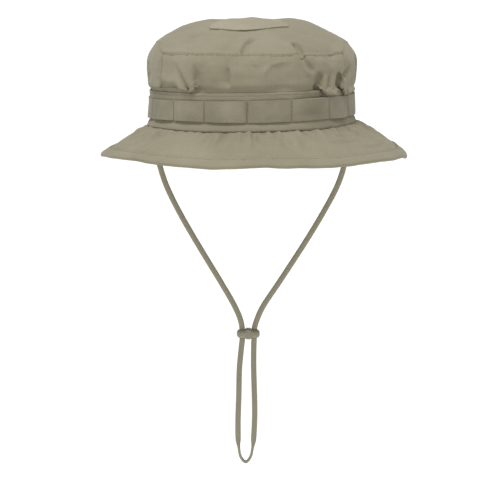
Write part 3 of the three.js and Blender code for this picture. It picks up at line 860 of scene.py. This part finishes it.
band = dict(
    height=31, cloth=1.2, gap=0.3, cut=(590, 31),  # its flat size
    topRow=29, footRow=2.2,  # the heights of its two rows of stitches
    perDegree=1.62,  # how far round it one degree goes
    flare=3.2, foot=0.6,  # it flares out at its foot, over the brim's seam
    # the seam isn't quite level: angle, width in degrees, height
    lifts=[(0, 45, 0.9), (-64, 30, 2.1), (60, 20, 0.7)],
)
webbingStrip = dict(
    bottom=7.5, height=17.4, cloth=1.4, slack=1.0, cut=(590, 19),
    off=1.7, leastOff=1.6,  # how far its inside lies from the oval; it doesn't go into the band
    stitch=1.1, sunk=0.75,  # how wide and deep it is drawn in along a stitched line
    leftLift=1.3,  # its lower edge rises on the left
    # where it is stitched down; the rest follow evenly round the back
    stitched=[-70, -46.6, -25.9, -2.5, 21.3, 45.8, 65, 87.5, 110, 132.5, 155, 177.5,
              -160, -137.5, -115, -92.5],
    # how far each loop stands off, and how far its lower edge stands out (+) or tucks in (-)
    loops=[(0.7, 0.9), (0.9, 0.3), (1.0, 0.1), (1.0, -0.25), (1.3, -4.6), (0.7, 2.6), (0.5, 1.0), (0.3, -0.1),
           (0.8, 0.2), (1.1, 0.3), (0.9, -0.4), (1.0, 0.2), (0.8, 0.1), (1.1, -0.3), (0.5, 0.2), (0.3, 1.2)],
)


def footLift(angle):
    return sum(height * hump(turnBetween(at, angle) / width) for at, width, height in band["lifts"])


def makeBand():
    def place(angle, v):
        return onOval(angle, band["height"] * v + rollLift(angle, 1), band["gap"] + band["cloth"])

    piece, points, normals = newRing("baseBand", 256, 16, band["cut"], place)
    angle = angleOf(points)
    z = points[:, 2] - rollLift(angle, 1)
    arc = angle * band["perDegree"]
    fromTop, fromFoot = z - band["topRow"], z - band["footRow"]
    push = -0.35 * hump(fromTop / 0.8) - 0.45 * hump(fromFoot / 0.8)  # each row lies in a small hollow
    push += pucker(arc, fromTop, 31, height=0.2) + pucker(arc, fromFoot, 33, height=0.3)
    push += band["flare"] * (1 - smoothStep(z, 0.4, 8.5))
    # fuller at the sides, as the wall is
    push += 0.9 * smoothStep(z, 20, 30) * np.sin(np.radians(angle)) ** 2
    points += normals * push[:, None]
    points[:, 2] += 0.35 * wobble(points * (1, 1, 0), 16, 35) * smoothStep(z, 26, 31)
    points[:, 2] += footLift(angle) * (1 - smoothStep(z, 0, 8)) - band["foot"] * (1 - smoothStep(z, 0, 4))
    return finishSheet(piece, points, band["cloth"], ripstop, "base_band")


def makeWebbing():
    turns = np.array(webbingStrip["stitched"], float) % 360
    order = np.argsort(turns)
    stops, loops = turns[order], np.array(webbingStrip["loops"])[order]

    def loopOf(angle):
        # which loop each point lies in, how far across it, and how far from its nearer stitch line
        turn = angle % 360
        index = (np.searchsorted(stops, turn, side="right") - 1) % len(stops)
        start = stops[index]
        length = (stops[(index + 1) % len(stops)] - start) % 360
        across = ((turn - start) % 360) / length
        return index, across, np.minimum(across, 1 - across) * length * band["perDegree"]

    def place(angle, v):
        index, across, fromStitch = loopOf(angle)
        slack, tip = loops[index].T
        arch = np.abs(np.sin(np.pi * across))
        off = webbingStrip["off"] + webbingStrip["slack"] * slack * arch ** 0.9 * (
            0.55 + 0.45 * smoothStep(v, 0, 0.4))
        off = np.maximum(off - tip * 0.9 * arch * (v - 0.5) * 1.6, webbingStrip["leastOff"])
        off = off - webbingStrip["sunk"] * hump(fromStitch / webbingStrip["stitch"])
        z = webbingStrip["bottom"] + webbingStrip["height"] * v
        z = z + webbingStrip["leftLift"] * hump(turnBetween(-45, angle) / 32) * (1 - v)
        return onOval(angle, z + rollLift(angle, 1), off + webbingStrip["cloth"])

    piece, points, normals = newRing("webbingBand", 640, 12, webbingStrip["cut"], place)
    points += normals * 0.12 * wobble(points, 7, 41)[:, None]
    points[:, 2] += 0.18 * wobble(points * (1, 1, 0), 14, 43)
    return finishSheet(piece, points, webbingStrip["cloth"], webbing, "webbing_band", levels=0)


baseBand = makeBand()
webbingBand = makeWebbing()
print("band and webbing made")


brim = dict(
    width=44.8, flat=2.2, drop=22.8, frontLift=0.5, bow=1.2, shift=1.8, cloth=1.8, cut=(750, 46.6),
    under=-1.8,  # its cloth starts this far inside the seam
    sideRise=2.0,  # on the right it starts off level
    perDegree=1.75, scallop=0.4, scallopPitch=7.8,  # small arches of cloth along the seam
    hem=6.5,  # the tape is stitched down this far in from the edge
)
brimWaves = [  # angle, width in degrees, height, and 1 where it grows to the edge or 0 where it dies there
    (-90, 15, -1.4, 1), (-70, 12, 1.5, 1), (-53, 10, 1.9, 1), (70, 12, 0.7, 1), (48, 10, 0.9, 1),
    (-45, 6, 0.7, 1), (-38, 9, 0.9, 1), (-14, 7, -0.8, 1), (3, 5, 0.8, 1), (27, 9, -0.6, 1), (81, 7, -1.6, 1),
    (92, 12, -1.2, 1), (103, 9, 1.2, 1), (95, 30, 0.6, 0), (128, 13, -1.2, 1), (186, 14, 1, 1),
    (244, 13, -1.2, 1),
]
brimCreases = [  # paths of (angle, distance from the seam), going outwards
    (1.9, -1.1, [(-2.3, 3), (-2, 16), (-2.1, 31)], dict(start=0.1, end=0.3)),
    (1.9, 1.7, [(0.4, 4), (0.6, 16), (0.4, 32)], dict(start=0.1, end=0.3)),
    (2.2, 2.3, [(-17.5, 4), (-18.8, 15), (-19.6, 29)], dict(right=1.3, start=0.15, end=0.3)),
    (2.0, 0.6, [(-9.5, 3), (-9.2, 12), (-9.8, 20)], dict(right=0.4)),
    (2.4, 0.6, [(-28, 4), (-30, 14), (-31, 24)], dict(left=0.4)),
    (2.2, 0.6, [(12, 4), (12.6, 15), (12.2, 28)], dict(right=0.3)),
    (2.4, 0.5, [(24, 3), (25, 12), (26, 20)], dict(left=0.4)),
    (2.0, 0.9, [(36, 14), (46, 15), (56, 16), (66, 15)], dict(right=0.5)),
    (2.2, 1.3, [(32, 22), (42, 23), (54, 24)], dict(right=0.6)),
    (1.8, 0.6, [(44, 8), (56, 9), (68, 9)], dict(right=0.4)),
    (2.1, 1.1, [(46, 31), (58, 32), (72, 31)], dict(right=0.5)),
    (2.4, 0.5, [(-62, 10), (-54, 12), (-46, 15)]),
    (3, 0.8, [(84, 6), (86, 16), (92, 28)], dict(right=0.5)),
    (3, 0.8, [(118, 5), (120, 18), (117, 30)], dict(left=0.5)),
    (2.4, 0.8, [(150, 4), (152, 15), (149, 26)], dict(right=0.5)),
    (2.6, 0.8, [(176, 4), (174, 16), (176, 28)], dict(left=0.5)),
    (2.8, 0.8, [(-150, 5), (-148, 16), (-151, 28)], dict(right=0.5)),
    (2.6, 0.8, [(-118, 4), (-121, 16), (-119, 27)], dict(left=0.5)),
    (2.6, 0.7, [(-88, 5), (-90, 15), (-87, 27)], dict(right=0.5)),
]
binding = dict(width=7.8, length=815, cloth=0.7, room=0.3, perDegree=2.2)


def brimShare(fromSeam):
    # 0 at the seam and 1 at the edge
    return np.maximum(0, (fromSeam - brim["flat"]) / (brim["width"] - brim["flat"]))


def brimPoint(angle, fromSeam, above=0.0):
    share = brimShare(fromSeam)
    drop = brim["drop"] - brim["frontLift"] * np.cos(2 * np.radians(angle))
    slope = np.arctan2(drop, brim["width"]) * smoothStep(share, 0, 0.2)
    z = -0.3 - drop * share ** brim["bow"] + rollLift(angle, 1 - np.minimum(1, share))
    z = z + footLift(angle) * (1 - smoothStep(fromSeam, 4, 20))
    for at, width, height, edge in brimWaves:
        grown = edge * share ** 1.5 + (1 - edge) * 4 * share * (1 - share)
        z = z + height * hump(turnBetween(at, angle) / width) * grown
    z = z + brim["sideRise"] * hump(turnBetween(88, angle) / 28) * hump((fromSeam - 8) / 6)
    point = onOval(angle, z + above * np.cos(slope), fromSeam + above * np.sin(slope))
    point[..., 0] += brim["shift"] * np.minimum(1, 3 * share)
    return point


def shapeBrim(points, normals, angle, fromSeam):
    push = pressCreases(points, normals, brimCreases, brimPoint, np.zeros(len(points)))
    arc = angle * brim["perDegree"]
    drift = 1.2 * wobble(np.stack([arc, 0 * arc, 0 * arc], 1), 30, 50)
    scallops = np.abs(np.sin(np.pi * arc / brim["scallopPitch"] + drift)) - 0.5
    push += brim["scallop"] * scallops * hump((fromSeam - 5.5) / 3)
    ripples = pucker(arc, fromSeam - 5, 51, pitch=3.8, reach=8, height=1.6)
    ripples += pucker(arc, fromSeam - 5, 53, pitch=7, reach=24, height=2.3)
    push += ripples * smoothStep(fromSeam, 3.2, 7)
    push -= 0.5 * hump((fromSeam - 2.6) / 1.4)  # the seam lies in a slight hollow
    hemLine = brim["width"] - brim["hem"]
    push += pucker(arc, fromSeam - hemLine, 55, pitch=4, reach=4, height=0.25)
    push += 0.22 * wobble(points, 12, 57) * smoothStep(fromSeam, 2, 8)
    return push


def makeBrim():
    def place(angle, v):
        return brimPoint(angle, brim["width"] + (brim["under"] - brim["width"]) * v ** 0.8)

    piece, points, normals = newRing("brimCloth", 320, 36, brim["cut"], place)
    angle, fromSeam = brimPlace(points)
    points += normals * shapeBrim(points, normals, angle, fromSeam)[:, None]
    return finishSheet(piece, points, brim["cloth"], ripstop, "brim")


def brimPlace(points):
    # the angle and the distance from the seam of points on the brim, found by closing in on them
    angle = angleOf(points)
    fromSeam = np.full(len(points), 20.0)
    for _ in range(6):
        x = points[:, 0] - brim["shift"] * np.minimum(1, 3 * brimShare(fromSeam))
        foot = onOval(angle, 0.0)
        outward = onOval(angle, 0.0, 1.0) - foot
        apart = np.stack([x, points[:, 1], 0 * x], axis=-1) - foot
        fromSeam = np.einsum("ij,ij->i", apart, outward)
        sideways = np.stack([-outward[:, 1], outward[:, 0], 0 * x], axis=-1)
        off = np.einsum("ij,ij->i", apart, sideways)
        angle = angle + np.degrees(off / (93 + np.maximum(fromSeam, 0)))
    return angle, fromSeam


def makeBinding():
    # (how far back from the edge, how much of its thickness stands beyond it, which side it lies on)
    half = [(binding["width"], 0, 1), (5.5, 0, 1), (2.6, 0.2, 1), (0.6, 0.1, 1), (0, 0.6, 0.7)]
    folds = [(back, beyond, -side) for back, beyond, side in half] + [(0, 1, 0)] + half[::-1]
    off = binding["room"] + binding["cloth"]

    def place(angle, v):
        back, beyond, side = [np.interp(v * (len(folds) - 1), range(len(folds)), column)
                              for column in np.array(folds).T]
        above = side * (brim["cloth"] / 2 + off) - brim["cloth"] / 2
        return brimPoint(angle, brim["width"] - back + beyond * off, above)

    piece, points, normals = newRing("brimBinding", 320, 20, (binding["length"], 2 * binding["width"]), place)
    angle, fromSeam = brimPlace(points)
    onBrim = brimPoint(angle, fromSeam)
    upwards = np.sign(normals[:, 2])
    push = shapeBrim(onBrim, np.where(normals[:, 2:] > 0, normals, -normals), angle, fromSeam) * upwards
    hemLine = brim["width"] - brim["hem"]
    push -= 0.3 * hump((fromSeam - hemLine) / 0.8)
    push += pucker(angle * binding["perDegree"], fromSeam - hemLine, 61, pitch=3.5, reach=3.5, height=0.2)
    points += normals * push[:, None]
    return finishSheet(piece, points, binding["cloth"], ripstop, "brim_binding")


makeBrim()
brimBinding = makeBinding()
print("brim and binding made")


tab = dict(
    outer=81.5, thickness=4.4, width=12, height=15, rounding=1.2,
    rows=(4.5, 11.5),  # the heights of its two stitched rows
)


def makeTab(side, name, node):
    piece = addPrimitive(bpy.ops.mesh.primitive_cube_add, name,
                         (tab["thickness"] * mm, tab["width"] * mm, tab["height"] * mm), size=1, location=(
                             side * (tab["outer"] - tab["thickness"] / 2) * mm, 0, tab["height"] / 2 * mm))
    editWhole(piece, roundEdges(tab["rounding"], 4, 0.6),
              (bpy.ops.uv.cube_project, dict(cube_size=1, scale_to_bounds=False)))
    addModifier(piece, "SUBSURF", subdivision_type="SIMPLE", levels=2, render_levels=2)
    applyModifiers(piece)
    points, normals = readShape(piece)
    pinch = sum(0.5 * hump(points[:, 2] - row) for row in tab["rows"])
    points -= normals * (pinch * (np.abs(normals[:, 0]) > 0.5))[:, None]
    writePoints(piece, points)
    bpy.ops.object.shade_smooth()
    return dress(piece, webbing, node)


makeTab(-1, "cordTabLeft", "cord_tab_left")
makeTab(1, "cordTabRight", "cord_tab_right")
print("tabs made")


stitch = dict(
    length=2.5, pitch=3.4, width=0.62, height=0.45,
    tack=1.5, tackPitch=1.75, inset=0.8,  # those that hold the webbing down
)


def stitchRow(points, onto, closed=False, length=None, pitch=None, lift=0.05):
    # stitches along the points, laid on the surface of a piece
    length, pitch = length or stitch["length"], pitch or stitch["pitch"]
    laid = []
    for point in points:
        _, place, normal, _ = onto.closest_point_on_mesh(Vector(point) * mm)
        laid.append(place + normal * lift * mm)
    path = bpy.data.curves.new("row", "CURVE")
    path.dimensions = "3D"
    spline = path.splines.new("POLY")
    spline.points.add(len(laid) - 1)
    for point, place in zip(spline.points, laid):
        point.co = (*place, 1)
    spline.use_cyclic_u = closed
    guide = bpy.data.objects.new("row", path)
    bpy.context.scene.collection.objects.link(guide)
    selectOnly()
    bpy.ops.mesh.primitive_uv_sphere_add(segments=6, ring_count=4, radius=0.5, rotation=(0, math.pi / 2, 0))
    row = bpy.context.object
    bpy.ops.object.transform_apply()
    row.scale = (length * mm, stitch["width"] * mm, stitch["height"] * mm)
    row.location = (length / 2 * mm, 0, 0)
    bpy.ops.object.transform_apply()
    addModifier(row, "ARRAY", fit_type="FIT_CURVE", curve=guide, use_relative_offset=False,
                use_constant_offset=True, constant_offset_displace=(pitch * mm, 0, 0))
    addModifier(row, "CURVE", object=guide)
    applyModifiers(row)
    bpy.data.objects.remove(guide)
    return row


def stitchPiece(name, rows):
    selectOnly(*rows)
    if len(rows) > 1:
        bpy.ops.object.join()
    piece = bpy.context.object
    piece.name = piece.data.name = name
    bpy.ops.object.shade_smooth()
    return dress(piece, thread)


around = np.linspace(-180, 180, 241)[:-1]
front, back, topPanel = crownPanels["crownFront"], crownPanels["crownBack"], crownPanels["crownTop"]

stitchPiece("topSeamStitches", [stitchRow(domePoint(around, np.full(240, 0.985)), topPanel, closed=True)])
# the angles of the rows beside each upright seam
for name, angles in (("leftSeamStitches", (-58.9,)), ("rightSeamStitches", (58.9, 62.0))):
    stitchPiece(name, [stitchRow(
        wallPoint(np.full(20, angle), np.linspace(36, 63, 20)),
        front if hat["panelSeams"][0] < angle < hat["panelSeams"][1] else back) for angle in angles])
for name, height, out in (("bandTopStitches", band["topRow"], 6), ("bandFootStitches", band["footRow"], 7)):
    stitchPiece(name, [stitchRow(onOval(around, height + rollLift(around, 1), out), baseBand, closed=True)])
stitchPiece("hemStitches", [stitchRow(brimPoint(around, np.full(240, brim["width"] - brim["hem"]), 1.0),
                                      brimBinding, closed=True)])
acrossFlap = np.linspace(-0.93, 0.93, 60)
flapX, flapY = flap["middle"] + acrossFlap * flap["halfWidth"], flapEdges(acrossFlap)[1] - 2.2
flapLine = [(x, y, domeHeight(x, y) + 3) for x, y in zip(flapX, flapY)]
stitchPiece("flapStitches", [stitchRow(flapLine, topFlap, lift=-0.1)])
rows = []
heights = np.linspace(stitch["inset"], webbingStrip["height"] - stitch["inset"], 13) + webbingStrip["bottom"]
for angle in webbingStrip["stitched"]:
    reach = 0.55 if angle == -2.5 else 0.12  # the one in front is a wide zigzag
    line = onOval(angle + reach * (np.arange(13) % 2 * 2 - 1), heights + rollLift(angle, 1), 3.4)
    rows.append(stitchRow(line, webbingBand, length=stitch["tack"], pitch=stitch["tackPitch"]))
stitchPiece("webbingStitches", rows)
print("stitching made")


stageSetup = dict(
    floorHeight=-620, floorSize=2000,  # the floor is this many metres wide
    horizon=0.29, zenith=0.76, roller=3,
    key=1.95, keyHeight=68, keySide=-20, keySoftness=26,  # a big soft light, high in front on the left
)


def makeStage():
    floor = addPrimitive(bpy.ops.mesh.primitive_plane_add, "floor", (1, 1, 1),
                         size=stageSetup["floorSize"], location=(0, 0, stageSetup["floorHeight"] * mm))
    # painted board, rolled matt: almost white, with a trace of the roller's texture
    paint, tree = newMaterial("mattWhitePaint", {"Base Color": colour("#fbfbfa"), "Roughness": 0.95,
                                                 "Specular IOR Level": 0.1})
    roller = addNode(tree, "TexNoise", {"Scale": 1000 / stageSetup["roller"], "Detail": 2.0},
                     {"Vector": addNode(tree, "TexCoord").outputs["Object"]})
    bump = addNode(tree, "Bump", {"Strength": 0.05, "Distance": 0.1 * mm}, {"Height": roller})
    joinShader(tree, {"Normal": bump.outputs["Normal"]})
    floor.data.materials.append(paint)

    world = bpy.data.worlds.new("studio")
    bpy.context.scene.world = world
    world.use_nodes = True
    tree = world.node_tree
    sky = tree.nodes["Background"]
    sky.inputs["Color"].default_value = (1, 1, 1, 1)
    # a wide soft ceiling of light, dimmer towards the horizon, and plain white behind the hat
    upwards = addNode(tree, "SeparateXYZ", links={0: addNode(tree, "TexCoord").outputs["Generated"]})
    dome = addNode(tree, "MapRange", {"To Min": stageSetup["horizon"], "To Max": stageSetup["zenith"]},
                   {"Value": upwards.outputs["Z"]})
    seen = addNode(tree, "LightPath").outputs["Is Camera Ray"]
    strength = addNode(tree, "Mix", {3: 1.0}, {0: seen, 2: dome})
    tree.links.new(strength.outputs[0], sky.inputs["Strength"])

    light = bpy.data.objects.new("keyLight", bpy.data.lights.new("keyLight", "SUN"))
    bpy.context.scene.collection.objects.link(light)
    light.data.energy = stageSetup["key"]
    light.data.angle = math.radians(stageSetup["keySoftness"])
    tilt = math.radians(90 - stageSetup["keyHeight"])
    light.rotation_euler = (tilt, 0, math.radians(stageSetup["keySide"]))
    bpy.context.scene.view_settings.view_transform = "Standard"


makeStage()
print("stage made")
